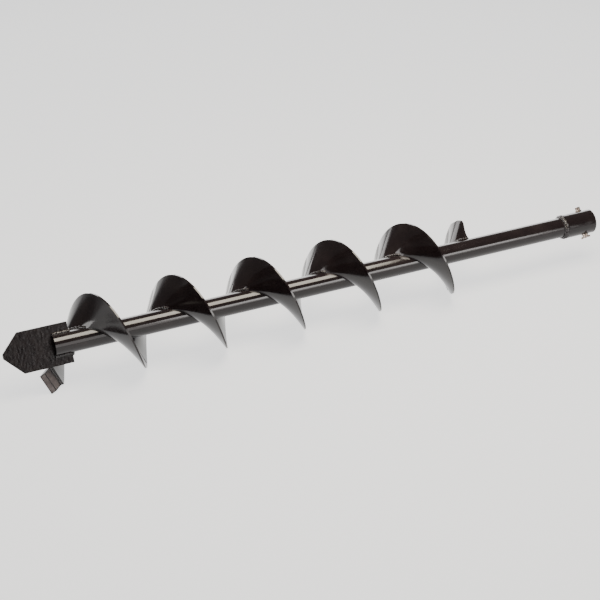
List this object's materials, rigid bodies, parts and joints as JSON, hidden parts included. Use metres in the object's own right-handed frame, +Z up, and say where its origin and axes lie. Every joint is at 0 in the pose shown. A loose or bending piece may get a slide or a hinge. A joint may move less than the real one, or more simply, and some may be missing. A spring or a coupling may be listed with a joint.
{
  "type": "ice fishing auger bit",
  "caption": "Steel auger bit: helical flighting round a tube, a spade point, a welded cutter tooth, and a drive collar with a cross bolt and wing nut.",
  "frame": {"origin": "centre of the drive collar's mouth", "axes": "+X along the shaft out of the collar's mouth, the cutting tip towards -X; the auger lies down, +Z up"},
  "size_m": [0.971, 0.1244, 0.1285],
  "materials": {
    "gloss_black_paint": "gloss",
    "rough_black_paint": "satin, orange peel",
    "painted_weld": "gloss over rippled bead",
    "worn_tool_steel": "ground",
    "zinc_plated_steel": "zinc plated"
  },
  "bodies": {
    "root": {"shaft_tube": "gloss_black_paint", "point_plate": "rough_black_paint", "cutter_blade": "worn_tool_steel", "flight_turn_1": "gloss_black_paint", "flight_turn_2": "gloss_black_paint", "flight_turn_3": "gloss_black_paint", "flight_turn_4": "gloss_black_paint", "flight_turn_5": "gloss_black_paint", "flight_end_turn": "gloss_black_paint", "drive_collar": "gloss_black_paint", "point_plate_welds": "painted_weld", "blade_weld": "painted_weld", "flight_start_weld": "painted_weld", "flight_tack_welds": "painted_weld", "flight_seam_welds": "painted_weld", "flight_end_weld": "painted_weld", "collar_weld": "painted_weld"},
    "bolt": {"cross_bolt": "zinc_plated_steel", "lock_washer": "zinc_plated_steel", "head_washer": "zinc_plated_steel"},
    "nut_seat": {"nut_washer": "zinc_plated_steel"},
    "nut": {"wing_nut": "zinc_plated_steel"}
  },
  "joints": [
    {"name": "bolt_draw", "type": "slide", "parent": "root", "child": "bolt", "axis": [0, 0.6361, 0.7716], "range_m": [0, 0.042]},
    {"name": "nut_travel", "type": "slide", "parent": "root", "child": "nut_seat", "axis": [0, -0.6361, -0.7716], "range_m": [0, 0.0032]},
    {"name": "wing_nut_turn", "type": "hinge", "parent": "nut_seat", "child": "nut", "pos_m": [-0.0165, 0, 0], "axis": [0, -0.6361, -0.7716], "range_deg": [0, 1440]}
  ],
  "couplings": [
    {"joint": "wing_nut_turn", "follows": "nut_travel", "rad_per_m": 7854}
  ]
}
